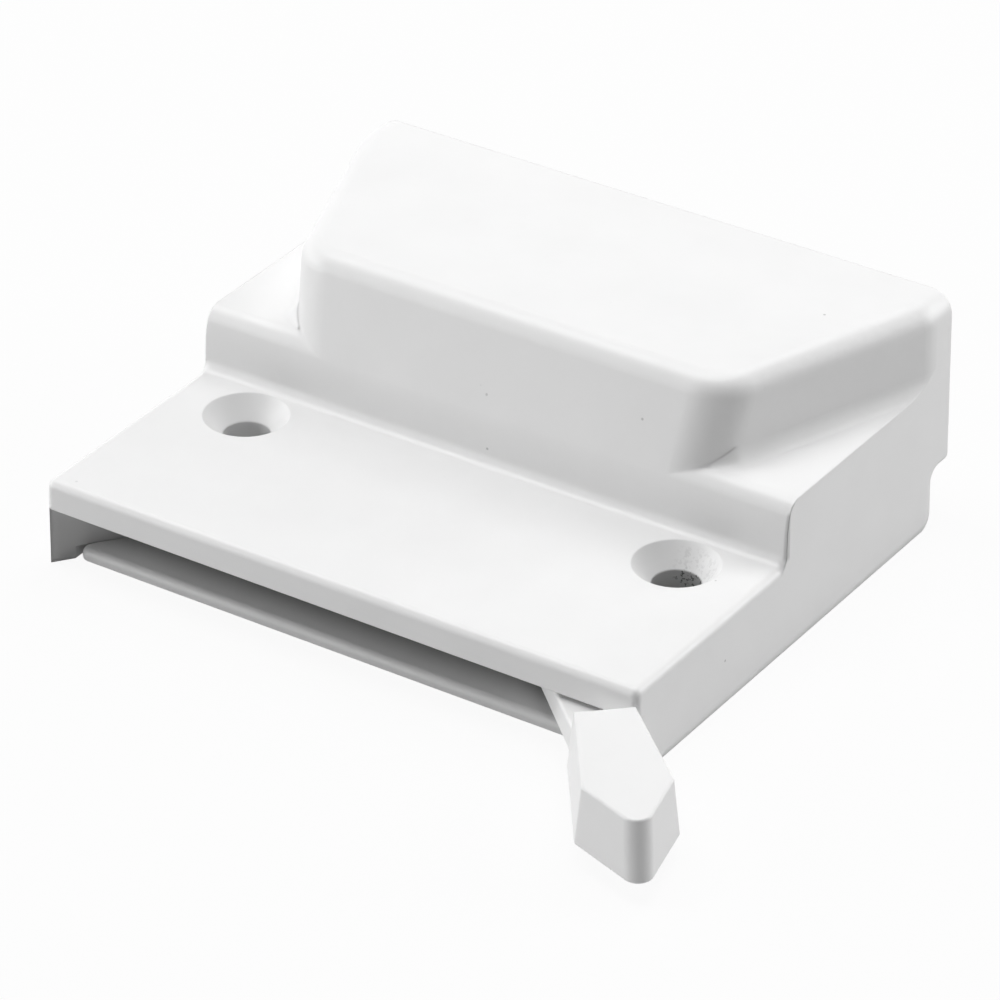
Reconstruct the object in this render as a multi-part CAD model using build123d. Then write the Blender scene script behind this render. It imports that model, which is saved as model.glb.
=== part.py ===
from build123d import *
from math import acos, atan2, cos, degrees, radians, sin, sqrt, tan
import os

# Casement window lock. A lever in the front slot turns about a post in the base plate and
# drives a claw through one short link, so that the claw swings out of the rear slot and
# pulls the sash home.
# Lengths are in millimetres. X is to the right, Y to the rear, Z up. The origin is on the
# underside, midway between the two mounting screw holes.

# Housing, outside
body_width = 80.0
front_reach = 24.6
rear_reach = 42.4
side_draft = 0.9
step_offset = 6.3
step_lean = 2.0
block_lean = 15.5
face_turn_rise = 4.6
step_rise = 7.6
block_rise = 10.1
block_front_width = 56.0
flare_end_inset = 4.4
rebate_depth = 3.9
rebate_height = 7.4

# Housing, rounded edges
block_corner_radius = 6.5
flare_end_radius = 6.0
block_top_radius = 2.8
block_foot_radius = 2.0
face_turn_radius = 12.0
shoulder_front_radius = 2.1
step_foot_radius = 1.3
platform_edge_radius = 1.0
lip_corner_radius = 0.9
rebate_radius = 1.8
rebate_edge_radius = 0.5
rear_foot_radius = 1.9

# Housing, walls
wall = 2.1
lip_wall = 2.4
lip_drop = 1.2
platform_wall = 2.5
shoulder_wall = 2.1
roof_wall = 2.4
end_wall = 2.0

# Mounting screw holes through the platform
hole_pitch = 58.8
hole_diameter = 5.6
countersink_diameter = 10.2
countersink_angle = 82.0
mount_boss_radius = 5.2

# Base plate and the four screws that hold it
plate_thickness = 1.6
plate_front_inset = 2.5
plate_side_gap = 0.45
plate_rear_gap = 0.3
plate_corner_radius = 1.2
plate_upper_edge_radius = 0.9
plate_lower_edge_radius = 0.35
plate_hole_margin = 0.6
plate_screw_inset = 5.6
front_screw_back = 15.1
rear_screw_inset = 8.5
plate_screw_length = 7.0
plate_screw_radius = 1.25
plate_screw_head_radius = 2.3
plate_screw_head_angle = 90.0
plate_boss_radius = 2.7
plate_boss_roof = 1.5
recess_width = 0.65
recess_reach = 1.3
recess_depth = 0.8

# Lever
lever_pivot_back = 38.4
lever_swing = 84.7
hub_radius = 8.1
hub_height = 6.05
arm_rise = 1.25
arm_thickness = 3.5
arm_root_width = 16.0
arm_taper = 4.72
arm_slot_gap = 0.5
stop_gap = 0.12
knob_corner_gap = 0.17
knob_root_width = 6.74
knob_widest_width = 9.96
knob_widest_ahead = 14.3
knob_length = 23.2
knob_height = 7.23
knob_drop = 1.01
knob_draft = 5.7
knob_tip_radius = 1.8
knob_corner_radius = 0.7
lever_edge_radius = 0.3

# Posts, washers and rings
play = 0.05
pin_fit = 0.03
lever_post_radius = 2.6
post_tenon_radius = 2.2
post_end = 1.4
thrust_washer_radius = 6.0
thrust_washer_thickness = 0.45
spring_washer_radius = 4.6
spring_washer_height = 0.9
spring_washer_thickness = 0.25
retaining_ring_radius = 4.2
retaining_ring_thickness = 0.8
ring_groove_depth = 0.5
ring_mouth = 1.6

# Link and its pins
crank_radius = 10.0
crank_angle = 151.64
pillar_radius = 3.6
link_headroom = 1.7
link_thickness = 2.0
link_half_width = 3.2
link_pin_radius = 1.6
pin_head_radius = 2.8
pin_head_thickness = 0.9
pin_head_gap = 0.2
pin_seat_length = 7.0
web_thickness = 4.0
pillar_gap = 0.1
clip_thickness = 0.8
clip_gap = 0.1
clip_groove_depth = 0.35
pin_end = 0.2

# Claw
claw_pivot_x = 16.0
claw_pivot_ahead = 5.6
claw_rest_angle = 174.7
claw_headroom = 0.6
claw_thickness = 3.5
claw_hub_radius = 6.5
claw_back_offset = 4.5
claw_shank_offset = 4.0
claw_ear_radius = 4.3
notch_distance = 30.5
notch_offset = 6.0
notch_radius = 3.3
hook_width = 5.2
beak_offset = 9.0
claw_corner_radius = 2.0
beak_corner_radius = 0.8
claw_post_radius = 3.5
claw_journal_radius = 2.5
claw_journal_length = 3.7
claw_washer_radius = 5.4
lower_claw_washer_thickness = 0.3
upper_claw_washer_thickness = 0.4
roof_boss_radius = 4.5
claw_slot_half_width = 22.5
claw_slot_gap = 0.8

# Levels, from the underside up
washer_level = plate_thickness + play
hub_level = washer_level + thrust_washer_thickness + play
hub_top = hub_level + hub_height
arm_level = hub_level + arm_rise
lip_level = arm_level + arm_thickness + arm_slot_gap
ceiling_level = lip_level + lip_drop
platform_level = ceiling_level + platform_wall
turn_level = platform_level + face_turn_rise
shoulder_level = platform_level + step_rise
top_level = shoulder_level + block_rise
roof_level = top_level - roof_wall
shoulder_ceiling = shoulder_level - shoulder_wall
spring_level = hub_top + play
ring_level = spring_level + spring_washer_height + play
lever_post_top = ring_level + retaining_ring_thickness + post_end
link_level = lever_post_top + link_headroom
link_top = link_level + link_thickness
pillar_top = link_level - pillar_gap
clip_level = link_level - clip_gap - clip_thickness
pin_head_level = link_top + pin_head_gap
claw_level = pin_head_level + pin_head_thickness + claw_headroom
claw_top = claw_level + claw_thickness
lower_claw_washer_level = claw_level - play - lower_claw_washer_thickness
upper_claw_washer_level = claw_top + play
roof_boss_level = upper_claw_washer_level + upper_claw_washer_thickness + play

# Places in plan
half_width = body_width / 2
front_face = -front_reach
rear_face = rear_reach
lower_rear_face = rear_reach - rebate_depth
flare_end = rear_reach - flare_end_inset
lever_pivot = Vector(0, front_face + lever_pivot_back)
claw_pivot = Vector(claw_pivot_x, lever_pivot.Y + claw_pivot_ahead)
lever_heading = lever_swing / 2 - 90
crank_arm = Vector(crank_radius, 0).rotate(Axis.Z, crank_angle)
lever_pin = lever_pivot + crank_arm
claw_pin = claw_pivot + crank_arm
claw_tip_radius = notch_distance + notch_radius + hook_width
plate_front = front_face + plate_front_inset
plate_rear = lower_rear_face - wall - plate_rear_gap
plate_half_width = half_width - wall - plate_side_gap
plate_screw_x = half_width - plate_screw_inset
front_screw_y = front_face + front_screw_back
rear_screw_y = lower_rear_face - rear_screw_inset
mount_holes = [(-hole_pitch / 2, 0), (hole_pitch / 2, 0)]

# The slot's end faces lie along the edges of the lever's arm at its two limits
stop_angle = lever_swing / 2 - arm_taper
stop_distance = arm_root_width / 2 * cos(radians(arm_taper)) + stop_gap

# The knob starts just ahead of the housing's corner when the lever is at its limit
knob_root = (
    half_width * sin(radians(lever_swing / 2))
    + lever_pivot_back * cos(radians(lever_swing / 2))
    + knob_corner_gap
)


def face_y(z):
    """Depth of the front face above the platform: steep up to the turn, then leaning back."""
    upright = min(z, turn_level) - platform_level
    leaning = max(z - turn_level, 0)
    return step_offset + upright * tan(radians(step_lean)) + leaning * tan(radians(block_lean))


def flank_x(z):
    """Half of the housing's width at height z."""
    return half_width - z * tan(radians(side_draft))


def slot_end_x(y):
    """Half of the lever slot's width at depth y."""
    angle = radians(stop_angle)
    return (stop_distance + (lever_pivot.Y - y) * sin(angle)) / cos(angle)


def side_profile(points, width):
    """A prism across the housing from points in the side view, rounded where the face turns."""
    face = make_face(Polyline(*points, close=True))
    turn = Vector(face_y(turn_level), turn_level)
    turn_corners = [v for v in face.vertices() if (Vector(v.X, v.Y) - turn).length < 0.01]
    if turn_corners:
        face = fillet(turn_corners, face_turn_radius)
    return extrude(Plane.YZ * face, amount=width / 2, both=True)


def between_flanks(inset):
    """The space between the two drafted sides, set in by a wall."""
    base = half_width - inset
    lean = top_level * tan(radians(side_draft))
    face = make_face(
        Plane.XZ
        * Polyline(
            (-base - lean, -top_level),
            (base + lean, -top_level),
            (base - lean, top_level),
            (lean - base, top_level),
            close=True,
        )
    )
    return extrude(face, amount=body_width, both=True)


def ring(level, height, outer_radius, inner_radius, place):
    """A flat ring on the plan at a level."""
    face = Circle(outer_radius) - Circle(inner_radius)
    return extrude(Pos(place.X, place.Y, level) * face, amount=height)


def disc(level, height, radius, place):
    """A plain round on the plan at a level."""
    return extrude(Pos(place.X, place.Y, level) * Circle(radius), amount=height)


def turned(profile, place):
    """A turned piece from half of its section, as radius and height pairs."""
    face = make_face(Plane.XZ * Polyline(*profile, close=True))
    return Pos(place.X, place.Y, 0) * revolve(face, Axis.Z)


# Housing


def lower_body():
    """Platform, step and shoulder: the wide part of the casting."""
    body = side_profile(
        [
            (front_face, 0),
            (front_face, platform_level),
            (step_offset, platform_level),
            (face_y(turn_level), turn_level),
            (face_y(shoulder_level), shoulder_level),
            (rear_face, shoulder_level),
            (rear_face, rebate_height),
            (lower_rear_face, rebate_height),
            (lower_rear_face, 0),
        ],
        2 * body_width,
    )
    body = body & between_flanks(0)
    reach = 0.2

    def at(edge, y, z):
        return abs(edge.center().Y - y) < reach and abs(edge.center().Z - z) < reach

    def crosswise(edge):
        return abs(edge.center().X) < reach

    def round_edge(shape, radius, y, z):
        return fillet([e for e in shape.edges() if crosswise(e) and at(e, y, z)], radius)

    lip_corners = [
        e
        for e in body.edges()
        if abs(e.center().Y - front_face) < reach and not crosswise(e)
    ]
    body = fillet(lip_corners, lip_corner_radius)
    platform_rim = [
        e
        for e in body.edges()
        if abs(e.center().Z - platform_level) < reach and e.center().Y < step_offset - reach
    ]
    body = fillet(platform_rim, platform_edge_radius)
    body = round_edge(body, step_foot_radius, step_offset, platform_level)
    body = round_edge(body, shoulder_front_radius, face_y(shoulder_level), shoulder_level)
    body = round_edge(body, rebate_radius, lower_rear_face, rebate_height)
    body = round_edge(body, rebate_edge_radius, rear_face, rebate_height)
    return round_edge(body, rear_foot_radius, lower_rear_face, 0)


def block_outline(z, inset):
    """Plan outline of the raised block at height z, set in by a wall."""
    front = face_y(z)
    side = flank_x(z)
    front_half = block_front_width / 2
    slope = (side - front_half) / (flare_end - step_offset)
    corner = front_half + slope * (front - step_offset)
    face = make_face(
        Polyline(
            (-corner, front),
            (corner, front),
            (side, flare_end),
            (side, rear_face),
            (-side, rear_face),
            (-side, flare_end),
            close=True,
        )
    )
    for y, radius in ((front, block_corner_radius), (flare_end, flare_end_radius)):
        face = fillet([v for v in face.vertices() if abs(v.Y - y) < 0.01], radius)
    if inset > 0:
        face = offset(face, amount=-inset)
    return Pos(0, 0, z) * face


def flared_space(z):
    """Plan outline of the space between the block's flared sides at height z, open to the front."""
    side = flank_x(z)
    front_half = block_front_width / 2
    ahead = step_offset - block_corner_radius
    slope = (side - front_half) / (flare_end - step_offset)
    corner = front_half + slope * (ahead - step_offset)
    face = make_face(
        Polyline(
            (-corner, ahead),
            (corner, ahead),
            (side, flare_end),
            (side, rear_face + 1),
            (-side, rear_face + 1),
            (-side, flare_end),
            close=True,
        )
    )
    return Pos(0, 0, z) * face


def raised_block():
    """The block with flared sides, from inside the step up to its rounded top."""
    foot_level = platform_level + step_foot_radius
    block = side_profile(
        [
            (face_y(foot_level), foot_level),
            (face_y(turn_level), turn_level),
            (face_y(top_level), top_level),
            (rear_face, top_level),
            (rear_face, foot_level),
        ],
        2 * body_width,
    )
    block = block & loft([flared_space(foot_level), flared_space(top_level)], ruled=True)
    front_corners = [
        e
        for e in block.edges()
        if abs(e.center().X) > block_front_width / 4
        and e.center().Y < face_y(top_level) + 1
        and foot_level + 0.01 < e.center().Z < top_level - 0.01
    ]
    block = fillet(front_corners, block_corner_radius)
    flare_ends = [e for e in block.edges() if abs(e.center().Y - flare_end) < 0.01]
    block = fillet(flare_ends, flare_end_radius)
    rim = [
        e
        for e in block.edges()
        if e.center().Z > top_level - 0.01 and e.center().Y < rear_face - 0.01
    ]
    return fillet(rim, block_top_radius)


def foot_section(point, outward, radius):
    """Section of the blend at the block's foot: a square sunk in the casting, less a quarter round."""
    sink = block_foot_radius / 2
    lap = block_foot_radius / 50
    middle = radius * (1 - sqrt(0.5))
    curve = ThreePointArc((-lap, radius + lap), (middle, middle), (radius + lap, -lap))
    edge = Polyline(
        curve @ 1,
        (radius + lap, -sink),
        (-sink, -sink),
        (-sink, radius + lap),
        curve @ 0,
    )
    section = Plane(origin=point, x_dir=outward, z_dir=outward.cross(Vector(0, 0, 1)))
    return section * make_face(curve + edge)


def block_foot(side):
    """Concave blend between the block's side and the shoulder.

    It starts where the corner leaves the shoulder's rounded front edge, grows along the
    corner, follows the flared side and runs out at the housing's side.
    """
    outline = block_outline(shoulder_level, 0)
    edges = [e for e in outline.edges() if side * e.center().X > block_front_width / 4]
    arcs = [e for e in edges if e.geom_type == GeomType.CIRCLE]
    corner = min(arcs, key=lambda arc: arc.center().Y)
    flare_arc = max(arcs, key=lambda arc: arc.center().Y)
    centre = corner.arc_center
    rounding_depth = shoulder_front_radius * tan(radians(45 - block_lean / 2))
    front_turn = degrees(acos(1 - rounding_depth / block_corner_radius))
    full_turn = degrees(corner.length / block_corner_radius)
    sections = []
    steps = 3
    for step in range(steps + 1):
        share = step / steps
        turn = front_turn + share * (full_turn - front_turn)
        outward = Vector(0, -1, 0).rotate(Axis.Z, side * turn)
        radius = block_foot_radius * (0.15 + 0.85 * share)
        sections.append(foot_section(centre + outward * block_corner_radius, outward, radius))
    rear_sections = []
    for step in range(steps + 1):
        turn = full_turn + step / steps * (90 - full_turn)
        outward = Vector(0, -1, 0).rotate(Axis.Z, side * turn)
        place = flare_arc.arc_center + outward * flare_end_radius
        rear_sections.append(foot_section(place, outward, block_foot_radius))
    blend = loft(sections) + loft([sections[-1], rear_sections[0]], ruled=True)
    blend = blend + loft(rear_sections)
    return blend & between_flanks(0)


def housing_hollow():
    """The space inside the housing's walls, open at the bottom."""
    slant = wall / cos(radians(step_lean))
    low = side_profile(
        [
            (front_face + lip_wall, -1),
            (front_face + lip_wall, ceiling_level),
            (face_y(ceiling_level) + slant, ceiling_level),
            (face_y(shoulder_ceiling) + slant, shoulder_ceiling),
            (rear_face - wall, shoulder_ceiling),
            (rear_face - wall, rebate_height + wall),
            (lower_rear_face - wall, rebate_height + wall),
            (lower_rear_face - wall, -1),
        ],
        2 * body_width,
    )
    low = low & between_flanks(wall)
    levels = (ceiling_level + wall, turn_level, roof_level)
    high = loft([block_outline(level, wall) for level in levels], ruled=True)
    return low + high


def slot_end_wall(side):
    """The oblique wall that closes one end of the lever slot and stops the arm."""
    angle = radians(stop_angle)
    forward = Vector(side * sin(angle), -cos(angle))
    outward = Vector(side * cos(angle), sin(angle))
    boss = Vector(side * hole_pitch / 2, 0) - lever_pivot
    start = boss.dot(forward)
    finish = (lever_pivot.Y - front_face) * cos(angle) + half_width * sin(angle)
    inner = lever_pivot + outward * stop_distance
    outer = lever_pivot + outward * (stop_distance + end_wall)
    corners = [inner + forward * start, inner + forward * finish]
    corners += [outer + forward * finish, outer + forward * start]
    face = make_face(Polyline(*[(c.X, c.Y) for c in corners], close=True))
    height = ceiling_level + platform_wall / 2 - plate_thickness
    return extrude(Pos(0, 0, plate_thickness) * face, amount=height)


def plate_screw_boss(x, y):
    """A boss for one base plate screw, tied to the side wall by a web."""
    height = plate_screw_length + plate_boss_roof - plate_thickness
    boss = disc(plate_thickness, height, plate_boss_radius, Vector(x, y))
    side = 1 if x > 0 else -1
    reach = half_width - wall / 2 - abs(x)
    web = Pos(x + side * reach / 2, y, plate_thickness) * Box(
        reach, plate_boss_radius, height, align=(Align.CENTER, Align.CENTER, Align.MIN)
    )
    return boss + web


def make_housing():
    """The cast housing, with its slots, walls and bosses."""
    outside = lower_body() + raised_block() + block_foot(1) + block_foot(-1)
    housing = outside - housing_hollow()
    inside = []
    for side in (-1, 1):
        inside.append(slot_end_wall(side))
        for y in (front_screw_y, rear_screw_y):
            inside.append(plate_screw_boss(side * plate_screw_x, y))
    boss_height = ceiling_level + platform_wall / 2 - plate_thickness
    for x, y in mount_holes:
        inside.append(disc(plate_thickness, boss_height, mount_boss_radius, Vector(x, y)))
    roof_boss_height = roof_level + roof_wall / 2 - roof_boss_level
    inside.append(disc(roof_boss_level, roof_boss_height, roof_boss_radius, claw_pivot))
    housing = housing + [piece & outside for piece in inside]

    slot_back = front_face + lip_wall + end_wall / 2
    lever_slot = Polyline(
        (-slot_end_x(front_face - 1), front_face - 1),
        (slot_end_x(front_face - 1), front_face - 1),
        (slot_end_x(slot_back), slot_back),
        (-slot_end_x(slot_back), slot_back),
        close=True,
    )
    cuts = [extrude(Pos(0, 0, -1) * make_face(lever_slot), amount=lip_level + 1)]
    claw_slot_height = claw_thickness + 2 * claw_slot_gap
    cuts.append(
        Pos(0, rear_face - wall / 2, claw_level - claw_slot_gap)
        * Box(
            2 * claw_slot_half_width,
            2 * wall,
            claw_slot_height,
            align=(Align.CENTER, Align.CENTER, Align.MIN),
        )
    )
    sink = (countersink_diameter - hole_diameter) / 2 / tan(radians(countersink_angle / 2))
    slope = tan(radians(countersink_angle / 2))
    for x, y in mount_holes:
        cuts.append(
            turned(
                [
                    (0, -1),
                    (hole_diameter / 2, -1),
                    (hole_diameter / 2, platform_level - sink),
                    (countersink_diameter / 2 + slope, platform_level + 1),
                    (0, platform_level + 1),
                ],
                Vector(x, y),
            )
        )
    for x in (-plate_screw_x, plate_screw_x):
        for y in (front_screw_y, rear_screw_y):
            hole_depth = plate_screw_length + pin_fit
            cuts.append(disc(0, hole_depth, plate_screw_radius + pin_fit, Vector(x, y)))
    journal_depth = claw_journal_length + play
    journal_hole = claw_journal_radius + pin_fit
    cuts.append(disc(roof_boss_level - play, journal_depth + play, journal_hole, claw_pivot))
    return housing - cuts


# Base plate, its screws and the two posts riveted into it


def plate_screw_profile(clearance):
    """Half section of a base plate screw, grown by a clearance to cut its hole."""
    slope = tan(radians(plate_screw_head_angle / 2))
    head = plate_screw_head_radius + clearance
    shank = plate_screw_radius + clearance
    return [
        (0, 0),
        (head, 0),
        (shank, (head - shank) / slope),
        (shank, plate_screw_length),
        (0, plate_screw_length),
    ]


def make_base_plate():
    """The flat plate with rolled edges that closes the housing and carries the posts."""
    depth = plate_rear - plate_front
    blank = Pos(0, plate_front + depth / 2) * RectangleRounded(
        2 * plate_half_width, depth, plate_corner_radius
    )
    plate = extrude(blank, amount=plate_thickness)
    upper_edges = [e for e in plate.edges() if e.center().Z > plate_thickness - 0.01]
    plate = fillet(upper_edges, plate_upper_edge_radius)
    lower_edges = [e for e in plate.edges() if e.center().Z < 0.01]
    plate = fillet(lower_edges, plate_lower_edge_radius)
    holes = []
    for x, y in mount_holes:
        holes.append(disc(0, plate_thickness, hole_diameter / 2 + plate_hole_margin, Vector(x, y)))
    for pivot in (lever_pivot, claw_pivot):
        holes.append(disc(0, plate_thickness, post_tenon_radius + pin_fit, pivot))
    for x in (-plate_screw_x, plate_screw_x):
        for y in (front_screw_y, rear_screw_y):
            holes.append(turned(plate_screw_profile(pin_fit), Vector(x, y)))
    return plate - holes


def make_plate_screw(x, y):
    """A flat-head screw, with a cross recess and a short point."""
    profile = plate_screw_profile(0)
    tip = plate_screw_radius / 2
    profile[-2:] = [
        (plate_screw_radius, plate_screw_length - tip),
        (plate_screw_radius - tip, plate_screw_length),
        (0, plate_screw_length),
    ]
    screw = turned(profile, Vector(x, y))
    arm = Box(
        2 * recess_reach,
        recess_width,
        2 * recess_depth,
    )
    return screw - Pos(x, y, 0) * arm - Pos(x, y, 0) * Rot(0, 0, 90) * arm


def make_lever_post():
    """The post that the lever turns on, grooved for its retaining ring."""
    groove = lever_post_radius - ring_groove_depth
    return turned(
        [
            (0, 0),
            (post_tenon_radius, 0),
            (post_tenon_radius, plate_thickness),
            (lever_post_radius, plate_thickness),
            (lever_post_radius, ring_level - pin_fit),
            (groove, ring_level - pin_fit),
            (groove, ring_level + retaining_ring_thickness + pin_fit),
            (lever_post_radius, ring_level + retaining_ring_thickness + pin_fit),
            (lever_post_radius, lever_post_top - post_end / 4),
            (lever_post_radius - post_end / 4, lever_post_top),
            (0, lever_post_top),
        ],
        lever_pivot,
    )


def make_claw_post():
    """The stepped post of the claw, whose journal reaches into the housing's roof boss."""
    shoulder = lower_claw_washer_level - play
    top = roof_boss_level + claw_journal_length
    chamfer_size = claw_journal_radius / 5
    return turned(
        [
            (0, 0),
            (post_tenon_radius, 0),
            (post_tenon_radius, plate_thickness),
            (claw_post_radius, plate_thickness),
            (claw_post_radius, shoulder),
            (claw_journal_radius, shoulder),
            (claw_journal_radius, top - chamfer_size),
            (claw_journal_radius - chamfer_size, top),
            (0, top),
        ],
        claw_pivot,
    )


# Washers and open retaining rings


def make_spring_washer():
    """A washer bowed about the Y axis, which holds the lever down by friction."""
    bow = spring_washer_height - spring_washer_thickness
    reach = spring_washer_radius
    curve_radius = (reach**2 + bow**2) / (2 * bow)
    centre = spring_level + bow - curve_radius
    strip = Pos(0, centre) * Circle(curve_radius + spring_washer_thickness)
    strip = strip - Pos(0, centre) * Circle(curve_radius)
    strip = extrude(Plane.XZ * strip, amount=spring_washer_radius, both=True)
    blank = ring(
        spring_level,
        spring_washer_height,
        spring_washer_radius,
        lever_post_radius + pin_fit,
        lever_pivot,
    )
    return Pos(lever_pivot.X, lever_pivot.Y, 0) * strip & blank


def open_ring(level, thickness, outer_radius, inner_radius, place, heading):
    """A retaining ring with a mouth that snaps over the groove of a pin."""
    mouth = Pos(outer_radius, 0) * Rectangle(2 * outer_radius, ring_mouth * inner_radius)
    face = Circle(outer_radius) - Circle(inner_radius) - mouth
    return Pos(place.X, place.Y, level) * Rot(0, 0, heading) * extrude(face, amount=thickness)


# Lever


def knob_outline(spread):
    """Plan of the knob, a long house shape, with its sides moved out by a spread."""
    tip = knob_root + knob_length
    widest = knob_root + knob_widest_ahead
    face = make_face(
        Polyline(
            (knob_root, -knob_root_width / 2),
            (widest, -knob_widest_width / 2),
            (tip, 0),
            (widest, knob_widest_width / 2),
            (knob_root, knob_root_width / 2),
            close=True,
        )
    )
    if spread > 0:
        face = offset(face, amount=spread, kind=Kind.INTERSECTION)
    room = 2 * knob_length
    return face & Pos(knob_root + room / 2, 0) * Rectangle(room, room)


def make_knob():
    """The thick end of the lever, drafted so that it is widest at the bottom."""
    bottom = arm_level - knob_drop
    spread = knob_height * tan(radians(knob_draft))
    knob = loft(
        [Pos(0, 0, bottom) * knob_outline(spread), Pos(0, 0, bottom + knob_height) * knob_outline(0)],
        ruled=True,
    )
    middle = bottom + knob_height / 2
    upright = [e for e in knob.edges() if abs(e.center().Z - middle) < 0.1]
    tip = [e for e in upright if e.center().X > knob_root + knob_length - 1]
    widest = [e for e in upright if e not in tip and e.center().X > knob_root + 1]
    knob = fillet(tip, knob_tip_radius)
    knob = fillet(
        [
            e
            for e in knob.edges()
            if any(e.center().X == w.center().X and e.center().Y == w.center().Y for w in widest)
        ],
        knob_corner_radius,
    )
    rim = [e for e in knob.edges() if abs(e.center().Z - middle) > knob_height / 2 - 0.1]
    return fillet(rim, lever_edge_radius)


def make_lever():
    """Hub, arm, knob and crank pillar, cast as one piece."""
    root = arm_root_width / 2
    reach = knob_root + 1
    end = root - reach * tan(radians(arm_taper))
    face = make_face(Polyline((0, -root), (reach, -end), (reach, end), (0, root), close=True))
    arm = extrude(Pos(0, 0, arm_level) * face, amount=arm_thickness)
    long_edges = [e for e in arm.edges() if e.length > reach - 1]
    arm = fillet(long_edges, lever_edge_radius)
    lever = Pos(lever_pivot.X, lever_pivot.Y, 0) * Rot(0, 0, lever_heading) * (arm + make_knob())
    lever = lever + disc(hub_level, hub_height, hub_radius, lever_pivot)
    web = Pos(crank_radius / 2, 0, hub_top - web_thickness) * Box(
        crank_radius,
        2 * pillar_radius,
        web_thickness,
        align=(Align.CENTER, Align.CENTER, Align.MIN),
    )
    lever = lever + Pos(lever_pivot.X, lever_pivot.Y, 0) * Rot(0, 0, crank_angle) * web
    pillar_root = hub_top - web_thickness
    lever = lever + disc(pillar_root, pillar_top - pillar_root, pillar_radius, lever_pin)
    bore = disc(0, top_level, lever_post_radius + pin_fit, lever_pivot)
    seat = pillar_top - pin_seat_length - pin_fit
    return lever - bore - disc(seat, top_level, link_pin_radius + pin_fit, lever_pin)


def make_lever_link_pin():
    """The headed pin pressed into the crank pillar."""
    head_top = pin_head_level + pin_head_thickness
    rounding = pin_head_thickness / 3
    return turned(
        [
            (0, pillar_top - pin_seat_length),
            (link_pin_radius, pillar_top - pin_seat_length),
            (link_pin_radius, pin_head_level),
            (pin_head_radius, pin_head_level),
            (pin_head_radius, head_top - rounding),
            (pin_head_radius - rounding, head_top),
            (0, head_top),
        ],
        lever_pin,
    )


# Link, claw and the pin between them


def make_link():
    """The flat bar that makes the claw turn with the lever."""
    span = claw_pin - lever_pin
    heading = degrees(atan2(span.Y, span.X))
    bar = Pos(span.length / 2, 0) * SlotCenterToCenter(span.length, 2 * link_half_width)
    for x in (0, span.length):
        bar = bar - Pos(x, 0) * Circle(link_pin_radius + play)
    link = extrude(bar, amount=link_thickness)
    return Pos(lever_pin.X, lever_pin.Y, link_level) * Rot(0, 0, heading) * link


def make_claw_link_pin():
    """The pin fixed in the claw, grooved at its lower end for the clip."""
    groove = link_pin_radius - clip_groove_depth
    return turned(
        [
            (0, clip_level - pin_end),
            (link_pin_radius, clip_level - pin_end),
            (link_pin_radius, clip_level - pin_fit),
            (groove, clip_level - pin_fit),
            (groove, clip_level + clip_thickness + pin_fit),
            (link_pin_radius, clip_level + clip_thickness + pin_fit),
            (link_pin_radius, claw_top),
            (0, claw_top),
        ],
        claw_pin,
    )


def make_claw():
    """The flat claw: hub, ear for the link pin, shank and hooked end."""
    back_end = sqrt(claw_tip_radius**2 - claw_back_offset**2)
    beak_end = sqrt(claw_tip_radius**2 - beak_offset**2)
    notch_side = notch_distance + notch_radius
    notch_rise = notch_offset - claw_shank_offset
    notch_start = notch_distance - sqrt(notch_radius**2 - notch_rise**2)
    tip = ThreePointArc((back_end, claw_back_offset), (claw_tip_radius, 0), (beak_end, -beak_offset))
    notch = ThreePointArc(
        (notch_side, -notch_offset),
        (notch_distance, notch_radius - notch_offset),
        (notch_start, -claw_shank_offset),
    )
    outline = Line((0, claw_back_offset), tip @ 0) + tip
    outline += Polyline(tip @ 1, (notch_side, -beak_offset), notch @ 0)
    outline += notch
    outline += Polyline(notch @ 1, (0, -claw_shank_offset), (0, claw_back_offset))
    face = make_face(outline)
    face = fillet([v for v in face.vertices() if v.Y > 0 and v.X > notch_side], claw_corner_radius)
    face = fillet(
        [v for v in face.vertices() if v.Y < 0.5 - beak_offset],
        beak_corner_radius,
    )
    face = face + Circle(claw_hub_radius)
    face = Pos(claw_pivot.X, claw_pivot.Y) * Rot(0, 0, claw_rest_angle) * face
    face = face + Pos(claw_pin.X, claw_pin.Y) * Circle(claw_ear_radius)
    claw = extrude(Pos(0, 0, claw_level) * face, amount=claw_thickness)
    claw = claw - disc(0, top_level, claw_journal_radius + pin_fit, claw_pivot)
    return claw - disc(0, top_level, link_pin_radius + pin_fit, claw_pin)


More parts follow.
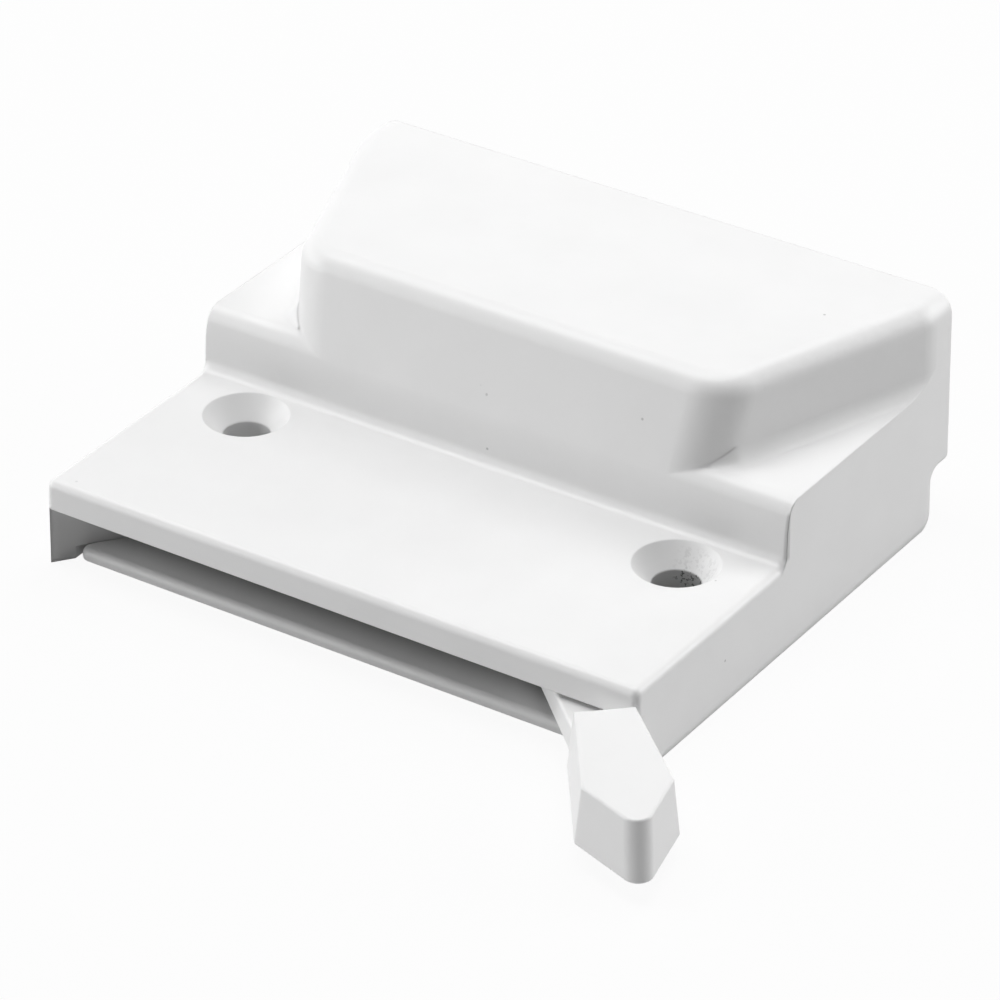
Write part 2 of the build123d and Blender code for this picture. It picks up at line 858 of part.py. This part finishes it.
def build_parts():
    """Every piece by its node name."""
    parts = {
        "housing": make_housing(),
        "base_plate": make_base_plate(),
        "lever_post": make_lever_post(),
        "claw_post": make_claw_post(),
        "lever": make_lever(),
        "lever_link_pin": make_lever_link_pin(),
        "link": make_link(),
        "claw_link_pin": make_claw_link_pin(),
        "claw": make_claw(),
        "lever_spring_washer": make_spring_washer(),
    }
    for end, y in (("front", front_screw_y), ("rear", rear_screw_y)):
        for hand, side in (("left", -1), ("right", 1)):
            parts[f"base_screw_{end}_{hand}"] = make_plate_screw(side * plate_screw_x, y)
    parts["lever_thrust_washer"] = ring(
        washer_level,
        thrust_washer_thickness,
        thrust_washer_radius,
        lever_post_radius + pin_fit,
        lever_pivot,
    )
    parts["lever_retaining_ring"] = open_ring(
        ring_level,
        retaining_ring_thickness,
        retaining_ring_radius,
        lever_post_radius - ring_groove_depth + pin_fit,
        lever_pivot,
        -90,
    )
    parts["link_spacer"] = ring(
        link_top + play,
        claw_level - link_top - 2 * play,
        link_half_width,
        link_pin_radius + play,
        claw_pin,
    )
    parts["link_clip"] = open_ring(
        clip_level,
        clip_thickness,
        link_half_width,
        link_pin_radius - clip_groove_depth + pin_fit,
        claw_pin,
        90,
    )
    parts["claw_washer_lower"] = ring(
        lower_claw_washer_level,
        lower_claw_washer_thickness,
        claw_washer_radius,
        claw_journal_radius + pin_fit,
        claw_pivot,
    )
    parts["claw_washer_upper"] = ring(
        upper_claw_washer_level,
        upper_claw_washer_thickness,
        claw_washer_radius,
        claw_journal_radius + pin_fit,
        claw_pivot,
    )
    return parts


os.makedirs("parts", exist_ok=True)
for name, shape in build_parts().items():
    export_step(shape, f"parts/{name}.step")
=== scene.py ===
"""Finishes, floor, lamps and camera for the casement window lock."""

from math import cos, radians, sin

import bpy
from mathutils import Matrix, Vector


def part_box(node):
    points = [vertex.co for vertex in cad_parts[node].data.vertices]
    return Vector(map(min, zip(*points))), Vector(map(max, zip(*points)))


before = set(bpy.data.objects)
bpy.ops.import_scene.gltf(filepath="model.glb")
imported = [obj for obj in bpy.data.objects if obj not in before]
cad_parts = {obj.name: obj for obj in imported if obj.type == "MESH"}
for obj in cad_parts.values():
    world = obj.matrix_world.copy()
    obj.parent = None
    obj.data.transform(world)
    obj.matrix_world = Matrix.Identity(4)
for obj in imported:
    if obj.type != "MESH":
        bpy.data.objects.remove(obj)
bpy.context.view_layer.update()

# One millimetre in the scene's unit, the metre
MM = 0.001

# Camera, as fitted to the photograph
lens_mm = 207.33
camera_azimuth = radians(33.487)
camera_elevation = radians(31.276)
camera_roll = radians(0.1115)
camera_distance = 641.42 * MM
camera_aim = Vector((10.039, -6.312, 15.991)) * MM

# Lamps: name, azimuth and elevation in degrees, distance, width and height in metres, watts
lamps = [
    ("overhead", 0, 88, 0.9, 0.35, 0.35, 2.7),
    ("rear_overhead", 90, 60, 0.9, 0.4, 0.4, 2.2),
    ("left_overhead", 180, 65, 0.9, 0.4, 0.4, 2.5),
    ("left_softbox", -148, 14, 0.7, 0.9, 0.4, 3.2),
    ("right_softbox", 45, 20, 0.7, 0.4, 0.4, 2.3),
]

# Places on the housing and the base plate that the finishes follow
hole_pitch = 58.8 * MM
hole_radius = 2.8 * MM
cone_radius = 5.1 * MM
slot_top = 7.4 * MM
step_front = 6.35 * MM
step_foot = 12.0 * MM
step_shoulder = 17.4 * MM
corner_foot_x = (25 * MM, 32 * MM)
corner_foot_y = (6 * MM, 14 * MM)
corner_foot_z = (18.4 * MM, 21.4 * MM)
cheek_width = 1.0 * MM
housing_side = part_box("housing")[1][0]
plate_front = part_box("base_plate")[0][1]

# Radius to which the powder coat rounds a sharp edge, and where it pools
coat_radius = 0.3 * MM
pooled_radius = 1.5 * MM

# How far each place turns to the dark grey, from 0, the white coat, to 1: painted shade, and
# chipped coat on the right cone
left_bore_shade = 0.12
right_bore_shade = 0.42
bare_right_cone = 0.13
slot_face_shade = 0.4
step_edge_shade = 0.36
plate_shade_depth = 0.7


def linear(hex_colour):
    """An sRGB hex colour as linear red, green, blue and alpha."""
    values = [int(hex_colour[i : i + 2], 16) / 255 for i in (1, 3, 5)]
    return [v / 12.92 if v <= 0.04045 else ((v + 0.055) / 1.055) ** 2.4 for v in values] + [1.0]


def add(tree, kind, settings, links=()):
    """Adds a shader node with its settings, and joins its inputs to the given outputs.

    A setting in lower case is the node's own property. Any other is an input's value.
    """
    made = tree.nodes.new(kind)
    for name, value in settings.items():
        if isinstance(name, str) and name.islower():
            setattr(made, name, value)
        else:
            made.inputs[name].default_value = value
    for name, source in dict(links).items():
        tree.links.new(source, made.inputs[name])
    return made


def new_material(name):
    """An empty material and its node tree."""
    material = bpy.data.materials.new(name)
    material.use_nodes = True
    material.node_tree.nodes.clear()
    return material, material.node_tree


def powder_coat(name, shade_and_bare_places=None, soft_places=None):
    """White polyester powder coat baked on a zinc die casting.

    It gives an opaque, satin, neutral white, a faint orange peel, edges that look soft
    because the coat flows round them, a few dust specks under it, and a dark grey mixed in at
    given places: painted shade in recesses and under the lip, and chipped coat in a screw hole.
    """
    material, tree = new_material(name)
    place = add(tree, "ShaderNodeTexCoord", {}).outputs["Object"]

    cloud = add(
        tree, "ShaderNodeTexNoise", {"Scale": 1 / (9 * MM), "Detail": 3.0}, {"Vector": place}
    )
    white = add(
        tree,
        "ShaderNodeMix",
        {"data_type": "RGBA", 6: linear("#ececec"), 7: linear("#e6e6e6")},
        {0: cloud.outputs["Fac"]},
    ).outputs[2]

    # Specks lie in cells of about 5 mm, and only some cells have one
    speck_pitch = 5 * MM
    specks = add(
        tree,
        "ShaderNodeTexVoronoi",
        {"Scale": 1 / speck_pitch, "Randomness": 1.0},
        {"Vector": place},
    )
    dot = add(
        tree,
        "ShaderNodeMapRange",
        {
            "interpolation_type": "SMOOTHSTEP",
            "From Min": 0.10 * MM / speck_pitch,
            "From Max": 0.22 * MM / speck_pitch,
            "To Min": 1.0,
            "To Max": 0.0,
        },
        {"Value": specks.outputs["Distance"]},
    ).outputs[0]
    chance = add(tree, "ShaderNodeSeparateColor", {}, {0: specks.outputs["Color"]})
    present = add(
        tree,
        "ShaderNodeMapRange",
        {"From Min": 0.45, "From Max": 1.0, "To Min": 0.0, "To Max": 0.55},
        {"Value": chance.outputs[0]},
    ).outputs[0]
    colour = add(
        tree,
        "ShaderNodeMix",
        {"data_type": "RGBA", 7: linear("#8a8a8a")},
        {0: joined(tree, "MULTIPLY", dot, present), 6: white},
    ).outputs[2]

    sheen_cloud = add(
        tree, "ShaderNodeTexNoise", {"Scale": 1 / (3 * MM), "Detail": 2.0}, {"Vector": place}
    )
    roughness = add(
        tree,
        "ShaderNodeMapRange",
        {"From Min": 0.3, "From Max": 0.7, "To Min": 0.36, "To Max": 0.44},
        {"Value": sheen_cloud.outputs["Fac"]},
    ).outputs[0]

    # Orange peel is about 1 mm across and a few micrometres deep
    peel = add(
        tree, "ShaderNodeTexNoise", {"Scale": 1 / (1.1 * MM), "Detail": 2.0}, {"Vector": place}
    )
    soft_edge = add(tree, "ShaderNodeBevel", {"samples": 8, "Radius": coat_radius})
    if soft_places:
        thickness = add(
            tree,
            "ShaderNodeMapRange",
            {"To Min": coat_radius, "To Max": pooled_radius},
            {"Value": soft_places(tree, place)},
        )
        tree.links.new(thickness.outputs[0], soft_edge.inputs["Radius"])
    bump = add(
        tree,
        "ShaderNodeBump",
        {"Strength": 0.3, "Distance": 0.012 * MM},
        {"Height": peel.outputs["Fac"], "Normal": soft_edge.outputs[0]},
    )

    coat_links = {"Base Color": colour, "Roughness": roughness, "Normal": bump.outputs["Normal"]}
    # Dark grey mixed in as painted shade, and as chipped coat in the right screw hole
    if shade_and_bare_places:
        shade_share = shade_and_bare_places(tree, place)
        coat_links["Base Color"] = add(
            tree,
            "ShaderNodeMix",
            {"data_type": "RGBA", 7: linear("#606060")},
            {0: shade_share, 6: colour},
        ).outputs[2]
    surface = add(tree, "ShaderNodeBsdfPrincipled", {"IOR": 1.5}, coat_links)
    add(tree, "ShaderNodeOutputMaterial", {}, {"Surface": surface.outputs["BSDF"]})
    return material


def joined(tree, operation, *masks):
    """Several masks as one: MULTIPLY where all of them hold, MAXIMUM where any does."""
    whole = masks[0]
    for mask in masks[1:]:
        whole = add(tree, "ShaderNodeMath", {"operation": operation}, {0: whole, 1: mask})
        whole = whole.outputs[0]
    return whole


def between(tree, value, low, high, blur):
    """A mask that is 1 where a value lies between two limits, and fades over a blur."""
    rise = add(
        tree,
        "ShaderNodeMapRange",
        {"From Min": low - blur, "From Max": low},
        {"Value": value},
    ).outputs[0]
    fall = add(
        tree,
        "ShaderNodeMapRange",
        {"From Min": high, "From Max": high + blur, "To Min": 1.0, "To Max": 0.0},
        {"Value": value},
    ).outputs[0]
    return joined(tree, "MULTIPLY", rise, fall)


def pooled_housing(tree, place):
    """Where the coat pools on the housing: at the foot of the block's corners and on the cheeks."""
    x, y, z = add(tree, "ShaderNodeSeparateXYZ", {}, {0: place}).outputs
    side = add(tree, "ShaderNodeMath", {"operation": "ABSOLUTE"}, {0: x}).outputs[0]
    foot = joined(
        tree,
        "MULTIPLY",
        between(tree, side, *corner_foot_x, blur=1.5 * MM),
        between(tree, y, *corner_foot_y, blur=1.5 * MM),
        between(tree, z, *corner_foot_z, blur=0.8 * MM),
    )
    cheek = joined(
        tree,
        "MULTIPLY",
        between(tree, side, housing_side - cheek_width, housing_side, blur=0.4 * MM),
        between(tree, z, 0.0, slot_top, blur=0.3 * MM),
    )
    return joined(tree, "MAXIMUM", foot, cheek)


def shade_and_bare_housing(tree, place):
    """How far the housing turns to the dark grey, from 0 to 1.

    The two screw holes' bores get painted shade, the right one also chipped and scuffed on its
    cone; the slot's inner faces get painted shade, and a line of painted shade runs along the
    upright edge at the step's right end.
    """
    x, y, z = add(tree, "ShaderNodeSeparateXYZ", {}, {0: place}).outputs
    side = add(tree, "ShaderNodeMath", {"operation": "ABSOLUTE"}, {0: x}).outputs[0]

    # How far a point is from the nearer hole's axis
    across = add(tree, "ShaderNodeMath", {"operation": "SUBTRACT", 1: hole_pitch / 2}, {0: side})
    flat = add(tree, "ShaderNodeCombineXYZ", {}, {"X": across.outputs[0], "Y": y})
    reach = add(
        tree, "ShaderNodeVectorMath", {"operation": "LENGTH"}, {0: flat.outputs[0]}
    ).outputs["Value"]

    # The bores get painted shade, deeper from the left hole to the right one, and the driver
    # chipped the right one
    grains = add(
        tree, "ShaderNodeTexNoise", {"Scale": 1 / (0.45 * MM), "Detail": 3.0}, {"Vector": place}
    )
    chips = add(
        tree,
        "ShaderNodeMapRange",
        {"From Min": 0.51, "From Max": 0.6},
        {"Value": grains.outputs["Fac"]},
    ).outputs[0]
    right = add(
        tree,
        "ShaderNodeMapRange",
        {"From Min": hole_pitch / 2 - 2.4 * MM, "From Max": hole_pitch / 2 - 1.2 * MM},
        {"Value": x},
    ).outputs[0]
    chipped = joined(tree, "MULTIPLY", chips, right)
    bore_shade = add(
        tree,
        "ShaderNodeMapRange",
        {
            "From Min": -hole_pitch / 2,
            "From Max": hole_pitch / 2,
            "To Min": left_bore_shade,
            "To Max": right_bore_shade,
        },
        {"Value": x},
    ).outputs[0]
    bore = between(tree, reach, 0.0, hole_radius + 0.02 * MM, blur=0.1 * MM)
    bore_shade_and_chips = joined(tree, "MULTIPLY", bore, joined(tree, "MAXIMUM", chipped, bore_shade))
    cone = between(tree, reach, hole_radius, cone_radius - 0.8 * MM, blur=0.6 * MM)
    scuffed = joined(tree, "MULTIPLY", cone, chipped)

    # Painted shade on the slot's faces that look inwards, clear of the holes' bores
    normal = add(tree, "ShaderNodeNewGeometry", {}).outputs["Normal"]
    facing = add(tree, "ShaderNodeSeparateXYZ", {}, {0: normal}).outputs[0]
    side_sign = add(tree, "ShaderNodeMath", {"operation": "SIGN"}, {0: x}).outputs[0]
    outward = joined(tree, "MULTIPLY", side_sign, facing)
    inner = between(tree, outward, -1.0, -0.3, blur=0.1)
    clear_of_holes = between(tree, reach, hole_radius + 0.6 * MM, 1.0, blur=0.3 * MM)
    below = between(tree, z, 0.0, slot_top, blur=0.3 * MM)
    inner_slot_shade = joined(tree, "MULTIPLY", inner, clear_of_holes, below)

    # A thin line of painted shade along the upright edge at the step's right end
    edge_side = between(tree, x, housing_side - 0.5 * MM, housing_side, blur=0.25 * MM)
    edge_front = between(tree, y, step_front - 0.2 * MM, step_front + 0.5 * MM, blur=0.2 * MM)
    edge_height = between(tree, z, step_foot, step_shoulder, blur=0.6 * MM)
    edge_shade_line = joined(tree, "MULTIPLY", edge_side, edge_front, edge_height)

    places = [(scuffed, bare_right_cone), (inner_slot_shade, slot_face_shade), (edge_shade_line, step_edge_shade)]
    masks = [
        add(tree, "ShaderNodeMath", {"operation": "MULTIPLY", 1: share}, {0: mask}).outputs[0]
        for mask, share in places
    ]
    return joined(tree, "MAXIMUM", bore_shade_and_chips, *masks)


def shade_under_lip(tree, place):
    """How far the base plate turns to dark grey: painted shade that deepens behind the slot's front
    edge, under the lip.
    """
    at = add(tree, "ShaderNodeSeparateXYZ", {}, {0: place})
    return add(
        tree,
        "ShaderNodeMapRange",
        {
            "interpolation_type": "SMOOTHSTEP",
            "From Min": plate_front + 0.8 * MM,
            "From Max": plate_front + 6 * MM,
            "To Min": 0.0,
            "To Max": plate_shade_depth,
        },
        {"Value": at.outputs["Y"]},
    ).outputs[0]


def zinc_plated(name, roughness):
    """Steel with bright zinc plating: silvery with a faint blue cast and small cloudy patches."""
    material, tree = new_material(name)
    place = add(tree, "ShaderNodeTexCoord", {}).outputs["Object"]
    patches = add(
        tree, "ShaderNodeTexNoise", {"Scale": 1 / (1.5 * MM), "Detail": 4.0}, {"Vector": place}
    )
    colour = add(
        tree,
        "ShaderNodeMix",
        {"data_type": "RGBA", 6: linear("#c3c7ca"), 7: linear("#a4a8ad")},
        {0: patches.outputs["Fac"]},
    ).outputs[2]
    gloss = add(
        tree,
        "ShaderNodeMapRange",
        {"From Min": 0.3, "From Max": 0.7, "To Min": roughness - 0.06, "To Max": roughness + 0.08},
        {"Value": patches.outputs["Fac"]},
    ).outputs[0]
    surface = add(
        tree,
        "ShaderNodeBsdfPrincipled",
        {"Metallic": 1.0},
        {"Base Color": colour, "Roughness": gloss},
    )
    add(tree, "ShaderNodeOutputMaterial", {}, {"Surface": surface.outputs["BSDF"]})
    return material


def turned_steel(name):
    """Steel turned in a lathe: mid grey, with fine rings left by the tool."""
    material, tree = new_material(name)
    place = add(tree, "ShaderNodeTexCoord", {}).outputs["Object"]

    # The tool's rings are 0.1 mm apart on the real part, and drawn 0.3 mm apart to show
    rings = add(
        tree,
        "ShaderNodeTexWave",
        {"bands_direction": "Z", "Scale": 1 / (0.3 * MM) / 6.3, "Distortion": 0.4},
        {"Vector": place},
    )
    cuts = add(
        tree,
        "ShaderNodeBump",
        {"Strength": 0.4, "Distance": 0.01 * MM},
        {"Height": rings.outputs["Fac"]},
    )
    colour = add(
        tree,
        "ShaderNodeMix",
        {"data_type": "RGBA", 6: linear("#b9b8b6"), 7: linear("#a3a2a0")},
        {0: rings.outputs["Fac"]},
    ).outputs[2]
    surface = add(
        tree,
        "ShaderNodeBsdfPrincipled",
        {"Metallic": 1.0, "Roughness": 0.3},
        {"Base Color": colour, "Normal": cuts.outputs["Normal"]},
    )
    add(tree, "ShaderNodeOutputMaterial", {}, {"Surface": surface.outputs["BSDF"]})
    return material


def phosphated_spring_steel(name):
    """Hardened spring steel, phosphated and oiled: dull dark grey with a fine crystal grain."""
    material, tree = new_material(name)
    place = add(tree, "ShaderNodeTexCoord", {}).outputs["Object"]

    # The crystals are about 0.02 mm across on the real part, and drawn 0.3 mm across to show
    crystals = add(tree, "ShaderNodeTexVoronoi", {"Scale": 1 / (0.3 * MM)}, {"Vector": place})
    colour = add(
        tree,
        "ShaderNodeMix",
        {"data_type": "RGBA", 6: linear("#4a4b4d"), 7: linear("#5d5e60")},
        {0: crystals.outputs["Distance"]},
    ).outputs[2]
    surface = add(
        tree,
        "ShaderNodeBsdfPrincipled",
        {"Metallic": 0.7, "Roughness": 0.5},
        {"Base Color": colour},
    )
    add(tree, "ShaderNodeOutputMaterial", {}, {"Surface": surface.outputs["BSDF"]})
    return material


def punched_acetal(name):
    """Natural acetal punched from sheet: milky white, smooth, a little waxy."""
    material, tree = new_material(name)
    place = add(tree, "ShaderNodeTexCoord", {}).outputs["Object"]
    wax = add(tree, "ShaderNodeTexNoise", {"Scale": 1 / (2 * MM), "Detail": 2.0}, {"Vector": place})
    colour = add(
        tree,
        "ShaderNodeMix",
        {"data_type": "RGBA", 6: linear("#eceae2"), 7: linear("#e2dfd5")},
        {0: wax.outputs["Fac"]},
    ).outputs[2]
    surface = add(
        tree,
        "ShaderNodeBsdfPrincipled",
        {"IOR": 1.48, "Roughness": 0.35},
        {"Base Color": colour},
    )
    add(tree, "ShaderNodeOutputMaterial", {}, {"Surface": surface.outputs["BSDF"]})
    return material


housing_coat = powder_coat("powder_coated_zinc_housing", shade_and_bare_housing, pooled_housing)
plate_coat = powder_coat("powder_coated_zinc_plate", shade_under_lip)
lever_coat = powder_coat("powder_coated_zinc_lever")
strip_zinc = zinc_plated("zinc_plated_steel_strip", 0.34)
screw_zinc = zinc_plated("zinc_plated_cold_headed_steel", 0.28)
lathe_steel = turned_steel("turned_steel")
spring_steel = phosphated_spring_steel("phosphated_spring_steel")
acetal = punched_acetal("natural_acetal_sheet")

finishes = {
    "housing": housing_coat,
    "base_plate": plate_coat,
    "lever": lever_coat,
    "claw": strip_zinc,
    "link": strip_zinc,
    "lever_spring_washer": spring_steel,
    "lever_retaining_ring": spring_steel,
    "link_clip": spring_steel,
    "lever_thrust_washer": acetal,
    "claw_washer_lower": acetal,
    "claw_washer_upper": acetal,
}
for name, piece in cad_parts.items():
    finish = finishes.get(name, screw_zinc if name.startswith("base_screw") else lathe_steel)
    for index in range(len(piece.data.materials)):
        piece.data.materials[index] = finish


def background_rays(tree):
    """A mask that is 1 for rays that see the white background: direct, reflected or through."""
    path = add(tree, "ShaderNodeLightPath", {}).outputs
    kinds = ("Is Camera Ray", "Is Glossy Ray", "Is Transmission Ray")
    return joined(tree, "MAXIMUM", *(path[kind] for kind in kinds))


def make_floor():
    """A plain pale floor, a hair under the lock so that their faces don't fall together."""
    size = 4.0
    low = -0.05 * MM
    mesh = bpy.data.meshes.new("floor")
    corners = [(-size, -size, low), (size, -size, low), (size, size, low), (-size, size, low)]
    mesh.from_pydata(corners, [], [(0, 1, 2, 3)])
    floor = bpy.data.objects.new("floor", mesh)
    bpy.context.scene.collection.objects.link(floor)
    material, tree = new_material("pale_floor")
    lit = add(tree, "ShaderNodeBsdfDiffuse", {"Color": linear("#dadada")})
    white = add(tree, "ShaderNodeEmission", {"Color": linear("#ffffff"), "Strength": 1.0})
    share = add(
        tree, "ShaderNodeMath", {"operation": "MULTIPLY", 1: 0.93}, {0: background_rays(tree)}
    )
    mixed = add(
        tree,
        "ShaderNodeMixShader",
        {},
        {"Fac": share.outputs[0], 1: lit.outputs[0], 2: white.outputs[0]},
    )
    add(tree, "ShaderNodeOutputMaterial", {}, {"Surface": mixed.outputs[0]})
    mesh.materials.append(material)


def make_lamp(name, azimuth, elevation, distance, width, height, power):
    """A soft lamp that faces the lock from a direction given in degrees."""
    light = bpy.data.lights.new(name, "AREA")
    light.shape = "RECTANGLE"
    light.size = width
    light.size_y = height
    light.energy = power
    lamp = bpy.data.objects.new(name, light)
    bpy.context.scene.collection.objects.link(lamp)
    turn = radians(azimuth)
    lift = radians(elevation)
    place = distance * Vector((cos(turn) * cos(lift), sin(turn) * cos(lift), sin(lift)))
    facing = place.to_track_quat("Z", "Y").to_matrix().to_4x4()
    lamp.matrix_world = Matrix.Translation(place) @ facing


def make_world():
    """A white background that lights the lock only by reflections and a faint fill."""
    world = bpy.data.worlds.new("surround")
    bpy.context.scene.world = world
    world.use_nodes = True
    tree = world.node_tree
    tree.nodes.clear()
    soft = add(tree, "ShaderNodeBackground", {"Color": linear("#ffffff"), "Strength": 0.01})
    white = add(tree, "ShaderNodeBackground", {"Color": linear("#ffffff"), "Strength": 1.0})
    mixed = add(
        tree,
        "ShaderNodeMixShader",
        {},
        {"Fac": background_rays(tree), 1: soft.outputs[0], 2: white.outputs[0]},
    )
    add(tree, "ShaderNodeOutputWorld", {}, {"Surface": mixed.outputs[0]})


def make_camera():
    """The camera at the photograph's place, height, roll and focal length."""
    data = bpy.data.cameras.new("camera")
    data.sensor_width = 36.0
    data.lens = lens_mm
    data.clip_end = 20.0
    camera = bpy.data.objects.new("camera", data)
    bpy.context.scene.collection.objects.link(camera)
    back = Vector(
        (
            sin(camera_azimuth) * cos(camera_elevation),
            -cos(camera_azimuth) * cos(camera_elevation),
            sin(camera_elevation),
        )
    )
    level = Vector((cos(camera_azimuth), sin(camera_azimuth), 0))
    upward = back.cross(level)
    right = cos(camera_roll) * level + sin(camera_roll) * upward
    up = cos(camera_roll) * upward - sin(camera_roll) * level
    turn = Matrix((right, up, back)).transposed().to_4x4()
    camera.matrix_world = Matrix.Translation(camera_aim + camera_distance * back) @ turn
    bpy.context.scene.camera = camera


make_floor()
make_world()
for lamp in lamps:
    make_lamp(*lamp)
make_camera()
bpy.context.scene.view_settings.view_transform = "Standard"
